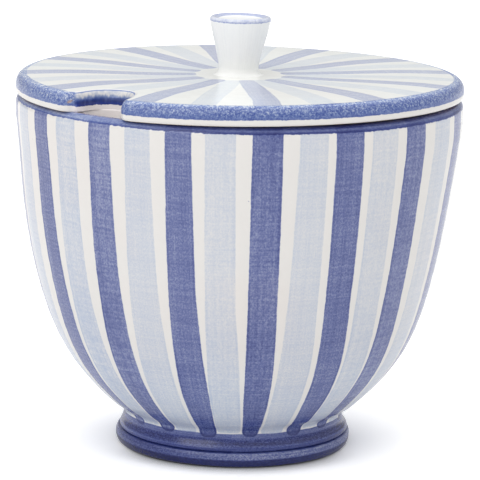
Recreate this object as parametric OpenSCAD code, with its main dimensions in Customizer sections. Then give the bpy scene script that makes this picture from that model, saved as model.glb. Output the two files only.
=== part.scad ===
// Lidded sugar bowl: a footed round bowl, and a flat lid with a knob,
// a locating flange and a notch for the spoon.
// Units are millimetres, +Z is up. The origin is the centre of the foot's
// resting plane, on the bowl's axis. The front of the bowl faces -Y.

/* [Bowl] */
// Outside diameter of the bowl at its rim
rim_d = 111.8; // [110.5:0.1:111.8]
// Height of the rim's crest above the table
rim_h = 89.2; // [84:0.1:96]
// Wall thickness at the rim
rim_wall = 4.6; // [4:0.1:5]
// Wall thickness of the belly, measured square to the surface
belly_wall = 4.9; // [4:0.1:5.4]
// Diameter where the flare leaves the neck
flare_d = 62.3; // [60:0.1:64]
// Height where the flare leaves the neck
flare_h = 11.1; // [10.6:0.1:12]
// Slope of the flare above the horizontal at that point, degrees
flare_angle = 43.7; // [40:0.1:48]
// Length of the flare's curve handle: longer holds the slope further
flare_reach = 18.2; // [16:0.1:20]
// Outward lean of the wall just under the rim, degrees from vertical
wall_lean = 5.4; // [4.5:0.1:6.2]
// Length of the wall's curve handle: longer holds the lean further down
wall_reach = 50.6; // [46:0.2:54]
// Thickness of the floor above the foot
floor_t = 5.9; // [5:0.1:7]

/* [Foot] */
// Diameter of the waist between the foot and the flare
neck_d = 56.4; // [55:0.1:57.4]
// Height of the waist above the table
neck_h = 7.7; // [7.2:0.1:8.2]
// Nominal diameter of the foot ring at its bead
foot_d = 59.3; // [58.4:0.1:60]
// Height of the foot ring, up to the crease under the waist
foot_h = 3.84; // [3.4:0.02:4.2]
// Diameter of the flat the foot ring rests on, at its outer edge
foot_base_d = 57.2; // [56:0.1:57.2]
// Diameter of the recess inside the foot ring
foot_bore_d = 48.4; // [46:0.2:50]

/* [Lid] */
// Outside diameter of the lid, the widest part of the whole piece
lid_d = 112; // [111.9:0.1:113]
// Thickness of the lid at its edge
lid_t = 4.7; // [4.2:0.05:5.4]
// Fall of the lid's top from its edge to the knob, a slight dish
lid_sink = 0.2; // [0:0.05:0.8]
// Width of the shoulder rounded over at the lid's top edge
lid_round = 2.4; // [1.6:0.1:2.8]
// Gap between the rim's crest and the underside of the lid
seat_gap = 0.1; // [0.05:0.05:0.5]

/* [Spoon notch] */
// Width of the notch between its parallel sides
notch_w = 14.4; // [12:0.2:17]
// Depth of the notch, from the lid's edge to its rounded end
notch_depth = 13.1; // [11.5:0.1:14]
// Radius of the two rounded lips at the notch's mouth
notch_lip = 3.6; // [1.5:0.1:4]
// Direction of the notch, degrees from the front, negative to the left
notch_angle = -39.4; // [-180:0.1:180]

/* [Locating flange] */
// Depth of the flange below the lid
flange_h = 5.4; // [4:0.1:7]
// Wall thickness of the flange
flange_t = 4.4; // [3.5:0.1:5]
// Clearance around the flange inside the rim, on each side
flange_gap = 1; // [1:0.1:2.2]

/* [Knob] */
// Height of the knob above the lid's top
knob_h = 14.6; // [11:0.1:18]
// Diameter of the knob at its lip
knob_d = 15.6; // [14:0.1:18]
// Diameter of the knob at its neck
knob_neck_d = 10.1; // [9:0.1:11]
// Width of the soft fillet where the knob meets the lid
knob_fillet = 1.6; // [1:0.1:2]
// Depth of the dished top of the knob
knob_dish = 0.9; // [0.4:0.1:1.5]

/* [Hidden] */
$fn = 128;
// steps along the curves of the turned profiles
curve_steps = 14;
belly_steps = 26;
rim_steps = 20;
knob_steps = 10;
small_steps = 8;

glaze_white = [0.92, 0.92, 0.90];
glaze_stripe = [0.62, 0.67, 0.80];
glaze_blue = [0.29, 0.34, 0.56];

rim_r = rim_d / 2;
neck_r = neck_d / 2;
foot_r = foot_d / 2;
crease_inset = 0.65; // crease over the foot ring, in from foot_r
crease = [foot_r - crease_inset, foot_h];
lid_r = lid_d / 2;
lid_z = rim_h + seat_gap;
lid_top = lid_z + lid_t;
knob_z = lid_top - lid_sink;
notch_r = notch_w / 2;
notch_y = lid_r - notch_depth + notch_r; // centre of the notch's rounded end
notch_turn = 180 + notch_angle; // turns a notch drawn towards +Y into place

// A curve is a cubic [start, handle, handle, end]; its point at t from 0 to 1
function curve_point(curve, t) =
    pow(1 - t, 3) * curve[0] + 3 * t * pow(1 - t, 2) * curve[1]
    + 3 * t * t * (1 - t) * curve[2] + t * t * t * curve[3];
// its direction, as a unit vector
function curve_dir(curve, t) =
    let (slope = pow(1 - t, 2) * (curve[1] - curve[0])
             + 2 * t * (1 - t) * (curve[2] - curve[1]) + t * t * (curve[3] - curve[2]))
    slope / norm(slope);
function curve_line(curve, steps = curve_steps) =
    [for (i = [0:steps]) curve_point(curve, i / steps)];
// the same curve moved to its left
function curve_left(curve, shift, steps) =
    [for (i = [0:steps]) let (t = i / steps, dir = curve_dir(curve, t))
        curve_point(curve, t) + shift * [-dir[1], dir[0]]];
function arc(centre, radius, from, to, steps) =
    [for (i = [0:steps]) let (angle = from + (to - from) * i / steps)
        centre + radius * [cos(angle), sin(angle)]];
function reversed(list) = [for (i = [len(list) - 1:-1:0]) list[i]];
function but_first(list) = [for (i = [1:len(list) - 1]) list[i]];
function but_last(list) = [for (i = [0:len(list) - 2]) list[i]];

// Bowl profile, as [radius, height]
belly_drop = 6;         // belly's top end, below the rim's crest
belly_inset = 0.06;     // and in from the rim's outside
neck_pull = 1.7;        // curve handles above and below the waist
flare_pull = 2.2;       // curve handle from the waist into the flare
floor_pull = 13;        // curve handle of the floor at the axis
floor_edge_pull = 5.4;  // and where the floor meets the inner wall

flare_dir = [cos(flare_angle), sin(flare_angle)];
flare_start = [flare_d / 2, flare_h];
belly_end = [rim_r - belly_inset, rim_h - belly_drop];
belly = [flare_start, flare_start + flare_reach * flare_dir,
         belly_end - wall_reach * [sin(wall_lean), cos(wall_lean)], belly_end];
waist_low = [crease, crease + [0.8, 0.5], [neck_r, neck_h - neck_pull], [neck_r, neck_h]];
waist_high = [[neck_r, neck_h], [neck_r, neck_h + neck_pull],
              flare_start - flare_pull * flare_dir, flare_start];
inner_wall = curve_left(belly, belly_wall, belly_steps);
floor_z = foot_h + floor_t;
floor_curve = [[0, floor_z], [floor_pull, floor_z],
               inner_wall[0] - floor_edge_pull * flare_dir, inner_wall[0]];

// Bowl: one turned wall, from the flat under its floor, out over the waist
// and belly, round the rim and down the inside
module bowl_body() {
    rim_round = rim_wall / 2;
    color(glaze_stripe) rotate_extrude() polygon(concat(
        [[0, foot_h]],
        curve_line(waist_low),
        but_first(curve_line(waist_high)),
        but_first(curve_line(belly, belly_steps)),
        arc([rim_r - rim_round, rim_h - rim_round], rim_round, 0, 180, rim_steps),
        reversed(but_last(inner_wall)),
        reversed(but_last(curve_line(floor_curve)))));
}

// Foot: the beaded ring the bowl stands on
module foot_ring() {
    bore_r = foot_bore_d / 2;
    chamfer = 0.8;
    color(glaze_blue) rotate_extrude() polygon(concat(
        [[bore_r, foot_h], [bore_r, chamfer], [bore_r + chamfer, 0]],
        curve_line([[foot_base_d / 2, 0], [foot_r + 0.15, 0.3],
                    [foot_r + 0.3, foot_h - 0.7], crease])));
}

// Slot towards +Y with its round end at notch_y
module slot(radius, length) {
    translate([0, notch_y]) circle(r = radius);
    translate([-radius, notch_y]) square([2 * radius, length]);
}

// Plan of the notch: a slot whose two mouth corners are rounded into the
// lid's edge
module notch_plan() {
    overshoot = 5; // past the lid's edge
    lip_x = notch_r + notch_lip;
    // each lip circle touches the lid's edge from inside, at x = tip_x
    lip_y = sqrt(pow(lid_r - notch_lip, 2) - pow(lip_x, 2));
    tip_x = lip_x * lid_r / (lid_r - notch_lip);
    slot(notch_r, lid_r - notch_y + overshoot);
    difference() {
        translate([-tip_x, lip_y]) square([2 * tip_x, lid_r - lip_y + overshoot]);
        for (side = [-1, 1]) translate([side * lip_x, lip_y]) circle(r = notch_lip);
    }
}

// Lid: a nearly flat plate, very slightly dished, with a rounded edge and
// the spoon notch
module lid() {
    under_round = 0.6;  // width of the rounding under the edge
    edge_z = lid_z + 1; // where the lower and upper roundings meet
    flat_r = 9;         // level middle under the knob
    cut_below = 1;      // notch cutter's reach past the lid's faces
    cut_above = 1.5;
    shoulder = [lid_r - lid_round, lid_top];
    color(glaze_white) difference() {
        rotate_extrude() polygon(concat(
            [[0, lid_z]],
            curve_line([[lid_r - under_round, lid_z], [lid_r - 0.25, lid_z + 0.03],
                        [lid_r, lid_z + 0.4], [lid_r, edge_z]], small_steps),
            but_first(curve_line([[lid_r, edge_z], [lid_r, lid_top - 0.75],
                                  [lid_r - 0.55 * lid_round, lid_top], shoulder])),
            but_first(curve_line([shoulder, [lid_r - 10, lid_top + 0.4],
                                  [20, knob_z], [flat_r, knob_z]])),
            [[0, knob_z]]));
        rotate(notch_turn) translate([0, 0, lid_z - cut_below])
            linear_extrude(height = lid_t + cut_below + cut_above) notch_plan();
    }
}

// Flange: the ring under the lid that keeps it centred in the rim. It turns
// inward round the spoon notch, so the notch stays open into the bowl
module lid_flange() {
    flange_r = rim_r - rim_wall - flange_gap;
    slot_length = 20; // runs out past the flange
    color(glaze_white) translate([0, 0, lid_z - flange_h]) linear_extrude(height = flange_h)
        difference() {
            circle(r = flange_r);
            difference() {
                circle(r = flange_r - flange_t);
                rotate(notch_turn) slot(notch_r + flange_t, slot_length);
            }
            rotate(notch_turn) slot(notch_r, slot_length);
        }
}

// Knob: a tapered grip with a rounded lip and a dished top
module knob() {
    lip_r = knob_d / 2;
    neck = knob_neck_d / 2;
    top = knob_z + knob_h;
    lip_crest = [lip_r - 0.95, top];
    color(glaze_white) rotate_extrude() polygon(concat(
        [[0, knob_z]],
        // fillet up from the lid
        curve_line([[neck + knob_fillet, knob_z], [neck + 0.45 * knob_fillet, knob_z + 0.05],
                    [neck + 0.02, knob_z + 0.35 * knob_fillet],
                    [neck + 0.1, knob_z + 0.8]], small_steps),
        // lip
        curve_line([[lip_r - 0.12, top - 1.7], [lip_r + 0.12, top - 0.7],
                    [lip_r - 0.1, top], lip_crest], knob_steps),
        // dish
        but_first(curve_line([lip_crest, [lip_r - 1.7, top],
                              [lip_r - 2.4, top - knob_dish],
                              [0, top - knob_dish]], knob_steps))));
}

bowl_body();
foot_ring();
lid();
lid_flange();
knob();
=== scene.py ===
"""Hand-painted sugar bowl with a lid, notched at its edge.

The bowl stands on z = 0 about the Z axis. Its front faces -Y and +X is to the
right; azimuths run from the front towards +X. The notch is at the front left.

Every piece is meshed from its own profile or plan, in millimetres, and stored
in metres. Paint is laid out as distances on the mesh (in from the edge of a
stripe, along a brush stroke), which the materials turn into pigment.
"""

import math

import bpy
import numpy as np
from mathutils import Matrix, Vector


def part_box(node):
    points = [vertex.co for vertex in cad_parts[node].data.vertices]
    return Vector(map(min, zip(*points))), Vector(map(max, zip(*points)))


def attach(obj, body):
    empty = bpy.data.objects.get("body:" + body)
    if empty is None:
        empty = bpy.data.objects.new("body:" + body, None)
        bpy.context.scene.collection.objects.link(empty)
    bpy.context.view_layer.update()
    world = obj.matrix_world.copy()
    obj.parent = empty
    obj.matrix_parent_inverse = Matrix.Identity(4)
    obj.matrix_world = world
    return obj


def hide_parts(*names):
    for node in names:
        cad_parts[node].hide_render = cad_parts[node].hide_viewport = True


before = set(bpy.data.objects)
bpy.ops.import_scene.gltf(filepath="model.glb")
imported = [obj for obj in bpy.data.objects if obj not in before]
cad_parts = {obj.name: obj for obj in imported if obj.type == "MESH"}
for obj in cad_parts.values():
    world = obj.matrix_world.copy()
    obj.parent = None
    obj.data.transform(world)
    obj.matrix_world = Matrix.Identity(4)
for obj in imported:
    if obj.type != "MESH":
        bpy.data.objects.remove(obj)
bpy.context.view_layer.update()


# ------------------------------------------------------- driving sizes (mm)
def z_range(node):
    low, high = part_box(node)
    return low[2] * 1000, high[2] * 1000


CREASE_Z, RIM_Z = z_range("bowl_body")  # the crease is where body meets foot
LID_Z = z_range("lid")[0]
FLANGE_Z = z_range("lid_flange")[0]
KNOB_Z, KNOB_TOP = z_range("knob")
RIM_R = 55.88
LID_R = 56.06
FLANGE_R = 50.3
NOTCH_AZIMUTH = -39.4
LID_X = 0.24  # the lid sits a hair to the right in its rim


# --------------------------------------------------------------- small maths
def bezier(start, pull_a, pull_b, end, count):
    t = np.linspace(0, 1, count + 1)[:, None]
    a, b, c, d = (np.array(p, float) for p in (start, pull_a, pull_b, end))
    return (1 - t) ** 3 * a + 3 * t * (1 - t) ** 2 * b + 3 * t * t * (1 - t) * c + t**3 * d


def arc_lengths(path):
    return np.concatenate([[0], np.cumsum(np.hypot(*np.diff(path, axis=0).T))])


def resample(path, count):
    """count + 1 points evenly spaced along a path of points."""
    arc = arc_lengths(path)
    stops = np.linspace(0, arc[-1], count + 1)
    return np.stack([np.interp(stops, arc, path[:, k]) for k in range(2)], 1)


def offset_left(path, width):
    heading = np.gradient(path, axis=0)
    heading /= np.hypot(heading[:, 0], heading[:, 1])[:, None]
    return path + width * np.stack([-heading[:, 1], heading[:, 0]], 1)


def step(x, start, end):
    """0 below start, 1 above end, smooth between."""
    share = np.clip((x - start) / (end - start), 0, 1)
    return share * share * (3 - 2 * share)


def smooth_interp(x, stops, values, window):
    """Straight interpolation with its corners rounded over a window."""
    grid = np.linspace(min(stops) - window, max(stops) + window, 600)
    count = max(3, int(window / (grid[1] - grid[0])))
    padded = np.pad(np.interp(grid, stops, values), count, mode="edge")
    smooth = np.convolve(padded, np.ones(count) / count, "same")[count:-count]
    return np.interp(x, grid, smooth)


# ------------------------------------------------------------ mesh utilities
# A piece is a grid points[row, column], its columns running round a loop. A
# closed grid joins its last row to its first. An open one starts and ends on
# the axis, where each row is stored as a single vertex, a pole.
def flatten(grid, closed):
    """The stored entries of a grid: a pole row keeps one."""
    if closed:
        return np.concatenate(grid)
    return np.concatenate([grid[0, :1], *grid[1:-1], grid[-1, :1]])


def strip_uv(points, length, strip):
    """A function giving the bake UV of a grid point in one strip of rows.

    (first row, last row, "disc", x, y, radius) lays the rows flat;
    (first row, last row, parts, x0, y0, x1, y1) unrolls them into that many
    stacked bands.
    """
    first, last, kind, *place = strip
    cols = points.shape[1]
    if kind == "disc":
        centre_x, centre_y, size = place
        widest = np.hypot(points[..., 0], points[..., 1])[first : last + 1].max()

        def flat(row, col, _):
            x, y = points[row, col % cols, :2]
            return (centre_x + x / widest * size, centre_y + y / widest * size)

        return flat

    x0, y0, x1, y1 = place
    per_part = cols // kind
    high = (y1 - y0) / kind

    def unrolled(row, col, face_col):
        part = min(face_col // per_part, kind - 1)
        u = (col - part * per_part) / per_part
        v = (length[row] - length[first]) / (length[last] - length[first])
        return (x0 + u * (x1 - x0), y0 + (part + 0.04 + 0.92 * v) * high)

    return unrolled


def grid_mesh(points, strips, closed):
    """Faces and bake UVs. Rows running bottom to top up an outside face outward."""
    rows, cols = points.shape[:2]
    loop = np.concatenate([points, points[:1]])
    gaps = np.linalg.norm(np.diff(loop, axis=0), axis=2).mean(1)
    length = np.concatenate([[0], np.cumsum(gaps)])

    def index(row, col):
        col %= cols
        if closed:
            return row % rows * cols + col
        if row == 0:
            return 0
        return 1 + (row - 1) * cols + (0 if row == rows - 1 else col)

    faces, uvs = [], []
    for strip in strips:
        uv = strip_uv(points, length, strip)
        for i in range(strip[0], min(strip[1], rows if closed else rows - 1)):
            for j in range(cols):
                corners = [(i, j), (i, j + 1), (i + 1, j + 1), (i + 1, j)]
                if not closed and i == 0:
                    del corners[1]
                elif not closed and i == rows - 2:
                    del corners[2]
                faces.append([index(*corner) for corner in corners])
                uvs += [uv(*corner, j) for corner in corners]
    return faces, uvs


def build_piece(name, points, strips, body, replaced, attrs, closed=False):
    faces, uvs = grid_mesh(points, strips, closed)
    mesh = bpy.data.meshes.new(name)
    mesh.from_pydata((flatten(points, closed) / 1000.0).tolist(), [], faces)
    mesh.validate(verbose=False)
    for key, grid in attrs.items():
        values = flatten(grid, closed).astype(np.float32)
        kind, prop = ("FLOAT", "value") if values.ndim == 1 else ("FLOAT_VECTOR", "vector")
        mesh.attributes.new(key, kind, "POINT").data.foreach_set(prop, values.ravel())
    layer = mesh.uv_layers.new(name="OFBake")
    layer.data.foreach_set("uv", np.asarray(uvs, np.float32).ravel())
    mesh.shade_smooth()
    obj = bpy.data.objects.new(name, mesh)
    bpy.context.scene.collection.objects.link(obj)
    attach(obj, body)
    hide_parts(replaced)
    return obj


def turned(profile, count):
    """Points of a turned profile, and their azimuths in radians."""
    angle = np.arange(count) / count * 2 * math.pi
    radius, z = profile[:, 0][:, None], profile[:, 1][:, None]
    points = np.stack([radius * np.sin(angle), -radius * np.cos(angle), z + 0 * angle], 2)
    return points, np.broadcast_to(angle, points.shape[:2])


# ------------------------------------------------------------ stripe layout
def nearest_stripe(strokes):
    """Depth inside the nearest stripe (mm), place across it, and its number.

    Each stroke is (distance in from its sides, distance in from its end,
    place across it, radius of its end corners).
    """
    depth, across, number = -9.0, 0.0, 0.0
    for k, (side, end, offset, corner) in enumerate(strokes):
        rounded = corner - np.hypot(corner - side, corner - end)
        in_corner = (side < corner) & (end < corner)
        inside = np.where(in_corner, rounded, np.minimum(side, end))
        nearer = inside > depth
        depth = np.where(nearer, inside, depth)
        across = np.where(nearer, offset, across)
        number = np.where(nearer, k, number)
    return depth, across, number


def paint_attrs(dark, light, along, painted):
    """Mesh attributes of two sets of strokes, kept to the painted part."""
    fields = {"dark": nearest_stripe(dark), "light": nearest_stripe(light)}
    depths = {f"{name}_sd": np.where(painted, f[0], -9) for name, f in fields.items()}
    brushes = {f"{name}_brush": np.stack([f[1], along, f[2]], 2) for name, f in fields.items()}
    return depths | brushes


# ================================================================== the bowl
NECK_R, NECK_Z = 28.2, 7.7  # narrowest place of the outside
FLARE = math.radians(43.7)  # rise of the wall as it leaves the neck
LEAN = math.radians(5.4)  # lean from upright as it nears the rim
WALL = 4.9
FLOOR_Z = CREASE_Z + 5.9
LIP_R = 2.3
BOWL_COLUMNS = 480

flare_dir = np.array([math.cos(FLARE), math.sin(FLARE)])
belly_start = np.array([31.15, 11.1])
belly_end = np.array([RIM_R - 0.06, RIM_Z - 6.0])
belly_pull = belly_end - 50.6 * np.array([math.sin(LEAN), math.cos(LEAN)])

waist_low = bezier(
    [28.62, CREASE_Z - 0.10], [29.7, CREASE_Z + 0.16], [NECK_R, 6.0], [NECK_R, NECK_Z], 16
)
waist_high = bezier(
    [NECK_R, NECK_Z], [NECK_R, 9.4], belly_start - 2.2 * flare_dir, belly_start, 14
)
belly = bezier(belly_start, belly_start + 18.2 * flare_dir, belly_pull, belly_end, 400)
inner = offset_left(belly, WALL)
floor_line = bezier([0, FLOOR_Z], [13, FLOOR_Z], inner[0] - 5.4 * flare_dir, inner[0], 60)

# the rim: a soft round lip with its crest very slightly flattened
lip_turn = np.radians(np.linspace(-4, 184, 30))
lip = np.stack([np.cos(lip_turn), np.sin(lip_turn)], 1) * LIP_R
lip += [RIM_R - LIP_R, RIM_Z - LIP_R]
lip[:, 1] = np.minimum(lip[:, 1], RIM_Z - 0.03)

outer_wall = np.concatenate([waist_low[:-1], waist_high[:-1], resample(belly, 116)])
inner_wall = resample(inner, 34)[::-1]
inner_floor = resample(floor_line, 16)[::-1]
underside = np.array(
    [(r, CREASE_Z) for r in (0, 8, 16, 22, 24.1)]
    + [(26.5, CREASE_Z - 0.12), (28.4, CREASE_Z - 0.14)]
)
bowl_profile = np.concatenate([underside, outer_wall, lip, inner_wall[1:], inner_floor[1:]])
OUTER_ROW = len(underside)
LIP_ROW = OUTER_ROW + len(outer_wall)
CREST_ROW = LIP_ROW + 15
INNER_ROW = LIP_ROW + len(lip)

bowl_pts, bowl_angle = turned(bowl_profile, BOWL_COLUMNS)
wall_z = bowl_pts[..., 2].copy()
wall_r = np.hypot(bowl_pts[..., 0], bowl_pts[..., 1])
row_z = wall_z[:, 0]
is_outer = np.zeros((len(bowl_profile), 1))
is_outer[OUTER_ROW - 1 : CREST_ROW] = 1
is_inner = np.zeros((len(bowl_profile), 1))
is_inner[CREST_ROW:] = 1

# the thrown shape by height: the shift of the centre towards +X, and the
# fullness added to the outside radius
SHAPE_Z = [0, 4, 5, 6, 7, 8, 9, 10, 11, 12.5, 15, 20,
           26, 32, 38, 44, 50, 56, 62, 68, 74, 80, 86, 90]  # fmt: skip
SHIFT_X = [0, 0.22, 0.22, 0.06, 0, 0, -0.15, -0.15, 0, -0.05, 0, 0.04,
           0.08, -0.02, -0.09, -0.18, -0.20, -0.18, -0.10, 0.07, 0.27, 0.39, 0.27, 0.20]
FULL_R = [0, -0.02, -0.12, -0.42, -0.42, -0.28, -0.32, -0.26, 0.02, 0.16, 0.22, 0.26,
          0.24, 0.18, 0.12, 0.10, 0.15, 0.15, 0.16, 0.13, 0.13, 0.18, 0.18, 0.05]
fullness = np.interp(row_z, SHAPE_Z, FULL_R)[:, None] * is_outer


def spiral(pitch, turns, phase=0.0):
    """A ripple rising by its pitch (mm) with `turns` starts round the wall."""
    return np.sin(2 * math.pi * (wall_z / pitch + turns * bowl_angle / (2 * math.pi)) + phase)


# slow out-of-round, and faint spiral rings, stronger inside than outside
raised = step(wall_z, 8, 40)
below_lip = 1 - step(wall_z, RIM_Z - 6, RIM_Z - 2)
slow = 0.05 * np.sin(4 * bowl_angle + 0.3) + 0.04 * np.sin(6 * bowl_angle - wall_z / 21)
outer_rings = 0.022 * spiral(5.6, -1, 0.6 * np.sin(2 * bowl_angle)) + 0.014 * spiral(2.9, 2)
inner_rings = 0.14 * spiral(8.5, -1) + 0.05 * spiral(3.7, 2, 1.0)
above_floor = step(wall_z, FLOOR_Z + 1, FLOOR_Z + 9)
ripple = raised * slow * 0.8 + outer_rings * raised * is_outer * below_lip
ripple += inner_rings * is_inner * below_lip * above_floor
outward = bowl_pts[..., :2] / np.maximum(wall_r, 1e-6)[..., None]
bowl_pts[..., :2] += outward * (ripple + fullness)[..., None]
bowl_pts[..., 0] += np.interp(row_z, SHAPE_Z, SHIFT_X)[:, None]
# the rim waves a little
rim_wave = sum(
    size * np.sin(n * bowl_angle + phase)
    for n, size, phase in ((1, 0.07, 0.5), (3, 0.04, 1.0), (7, 0.02, 0.0))
)
bowl_pts[..., 2] += (rim_wave - 0.10) * step(wall_z, RIM_Z - 8, RIM_Z - 1)

azimuth = np.degrees(np.arctan2(bowl_pts[..., 0], -bowl_pts[..., 1]))

# ---- the painted stripes, in degrees of azimuth: the centre at each of
# STRIPE_Z, then the half width at each
STRIPE_Z = [85.0, 45.0, 18.0, 7.6]
DARK = [
    (-59.2, -58.6, -59.0, -55.4, 3.2, 3.6, 4.5, 4.0),
    (-36.4, -36.5, -36.5, -34.8, 3.2, 3.7, 4.7, 4.3),
    (-14.6, -14.3, -13.1, -12.2, 3.2, 3.7, 4.7, 4.2),
    (7.2, 7.5, 8.2, 9.2, 3.6, 3.9, 4.4, 4.0),
    (28.3, 29.3, 31.6, 33.2, 3.7, 3.9, 4.6, 4.2),
    (49.6, 50.2, 52.0, 53.2, 3.6, 4.0, 4.6, 4.2),
    (74.0, 74.4, 75.2, 77.0, 3.7, 3.9, 4.6, 4.2),
]
LIGHT = [
    (-70.8, -71.7, -72.4, -70.0, 3.6, 4.5, 5.2, 5.2),
    (-48.1, -48.4, -47.8, -45.3, 3.5, 4.0, 5.2, 5.3),
    (-25.3, -25.4, -24.8, -24.0, 3.3, 4.2, 5.4, 5.4),
    (-4.2, -4.0, -2.8, -1.7, 3.6, 4.0, 5.2, 5.6),
    (18.7, 18.8, 19.3, 20.6, 3.5, 4.2, 5.5, 5.6),
    (38.7, 39.6, 41.8, 43.4, 3.9, 4.2, 4.7, 5.0),
    (62.2, 62.8, 63.5, 65.6, 4.2, 4.6, 5.2, 5.3),
]
# how heavily each dark stripe is loaded, at each of STRIPE_Z
LOAD = [
    (0.80, 0.80, 0.86, 0.96),
    (0.68, 0.86, 0.96, 1.08),
    (0.88, 0.94, 1.06, 1.18),
    (1.05, 1.01, 1.12, 1.28),
    (0.97, 1.05, 1.06, 1.22),
    (1.06, 0.95, 0.95, 1.12),
    (0.98, 0.94, 0.98, 1.10),
]
# round the back the stripes keep the same rhythm
PITCH = 22.68
LAST_DARK = DARK[-1][0]
FIRST_BACK_LIGHT = 85.4
for k in range(9):
    mid = LAST_DARK + (k + 1) * PITCH + 0.7 * math.sin(2.3 * k + 1)
    width = 3.5 + 0.2 * math.sin(k * 1.7)
    DARK.append((mid, mid + 0.3, mid + 1.0, mid + 2.4, width, 3.9, 4.6, 4.2))
    mid = FIRST_BACK_LIGHT + k * PITCH + 0.8 * math.sin(1.9 * k)
    width = 3.7 + 0.25 * math.sin(k * 2.1)
    LIGHT.append((mid, mid + 0.2, mid + 0.8, mid + 2.2, width, 4.2, 5.2, 5.4))
    usual = enumerate((0.92, 0.94, 1.0, 1.12))
    LOAD.append(tuple(load + 0.12 * math.sin(1.3 * k + n) for n, load in usual))

# arc length up the outside from the crease, and where the stripes end on it
bowl_arc = arc_lengths(bowl_profile)
bowl_arc -= bowl_arc[OUTER_ROW]
waist = slice(OUTER_ROW, OUTER_ROW + 34)
dark_end, light_end = np.interp([7.15, 8.22], bowl_profile[waist, 1], bowl_arc[waist])
bowl_along = bowl_arc[:, None] + 0 * wall_z


def by_height(values):
    return smooth_interp(row_z, STRIPE_Z[::-1], values[::-1], 9.0)


def bowl_strokes(table, end_arc, corner):
    """Strokes for nearest_stripe; corner is a share of the half width."""
    mm_per_degree = math.pi / 180 * wall_r
    for k, row in enumerate(table):
        half = by_height(row[4:])[:, None] * 1.03
        offset = (azimuth - by_height(row[:4])[:, None] + 180.0) % 360.0 - 180.0
        side = (half - np.abs(offset)) * mm_per_degree
        end = bowl_along - (end_arc + 0.25 * math.sin(k * 2.7))
        yield side, end, offset * mm_per_degree, corner * half * mm_per_degree


bowl_attrs = paint_attrs(
    bowl_strokes(DARK, dark_end, 0.72),
    bowl_strokes(LIGHT, light_end, 0.25),
    bowl_along,
    is_outer > 0.5,
)
loads = np.stack([by_height(row) for row in LOAD], 1)
stripe_number = bowl_attrs["dark_brush"][..., 2].astype(int)
bowl_attrs |= {
    "face_side": is_outer - is_inner + 0 * wall_z,
    "load": np.take_along_axis(loads, stripe_number, 1),
    "round_mm": (bowl_angle - math.pi) * wall_r,
}
bowl_strips = [
    (0, OUTER_ROW, "disc", 0.07, 0.93, 0.06),
    (OUTER_ROW, CREST_ROW, 2, 0.005, 0.0, 0.995, 0.74),
    (CREST_ROW, INNER_ROW + 33, 1, 0.16, 0.75, 0.995, 0.90),
    (INNER_ROW + 33, len(bowl_profile), "disc", 0.24, 0.95, 0.045),
]
bowl = build_piece(
    "bowl_wall", bowl_pts, bowl_strips, "bowl", "bowl_body", bowl_attrs
)

# ================================================================== the foot
FOOT_IN_R = 24.2
FOOT_COLUMNS = 480
foot_profile = np.concatenate(
    [
        [[FOOT_IN_R, CREASE_Z + 0.02], [FOOT_IN_R, 2.2], [FOOT_IN_R, 0.95]],
        bezier([FOOT_IN_R, 0.8], [24.25, 0.3], [24.6, 0.06], [25.1, 0.03], 6),
        [[26.0, 0.0], [27.2, 0.0], [28.0, 0.0]],
        # the outer bead
        bezier([28.8, 0], [29.92, 0.2], [30.0, CREASE_Z - 0.85], [29.3, CREASE_Z - 0.30], 26),
        [[29.0, CREASE_Z - 0.22], [28.62, CREASE_Z - 0.12], [27.0, CREASE_Z - 0.05]],
    ]
)
foot_pts, foot_angle = turned(foot_profile, FOOT_COLUMNS)
foot_r = np.hypot(foot_pts[..., 0], foot_pts[..., 1])
ridge_phase = 2 * math.pi * foot_pts[..., 2] / 1.15 + 0.8 * np.sin(2 * foot_angle)
foot_ripple = 0.05 * np.sin(3 * foot_angle + 0.4) + 0.04 * np.sin(7 * foot_angle + 1.2)
foot_ripple = step(foot_r, 27.5, 29) * (foot_ripple + 0.025 * np.sin(ridge_phase))
foot_pts[..., :2] *= (1 + foot_ripple / foot_r)[..., None]
foot_pts[..., 0] += 0.16 * step(foot_pts[..., 2], 1.8, 3.6)
foot_strips = [
    (0, 9, 1, 0.01, 0.0, 0.99, 0.12),
    (9, 12, 1, 0.01, 0.13, 0.99, 0.22),
    (12, len(foot_profile), 2, 0.01, 0.25, 0.99, 0.97),
]
foot = build_piece(
    "foot_bead", foot_pts, foot_strips, "bowl", "foot_ring",
    {"round_mm": (foot_angle - math.pi) * foot_r}, closed=True,
)

# =================================================================== the lid
# The outline is drawn with local +x pointing out through the notch, then
# turned to its azimuth. Local +y is the right side of the notch.
NOTCH_R, NOTCH_X, CORNER_R = 7.2, 50.1, 3.6
NOTCH_STEPS, STRAIGHT_STEPS, CORNER_STEPS, EDGE_STEPS = 44, 5, 20, 291
# ring angles, degrees, given to the ends of the arc, the straight and the corner
ARC_LEAD, STRAIGHT_LEAD, CORNER_LEAD = 11.1, 12.0, 13.7
corner_y = NOTCH_R + CORNER_R
corner_x = math.sqrt((LID_R - CORNER_R) ** 2 - corner_y**2)
tip = math.atan2(corner_y, corner_x)


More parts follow.
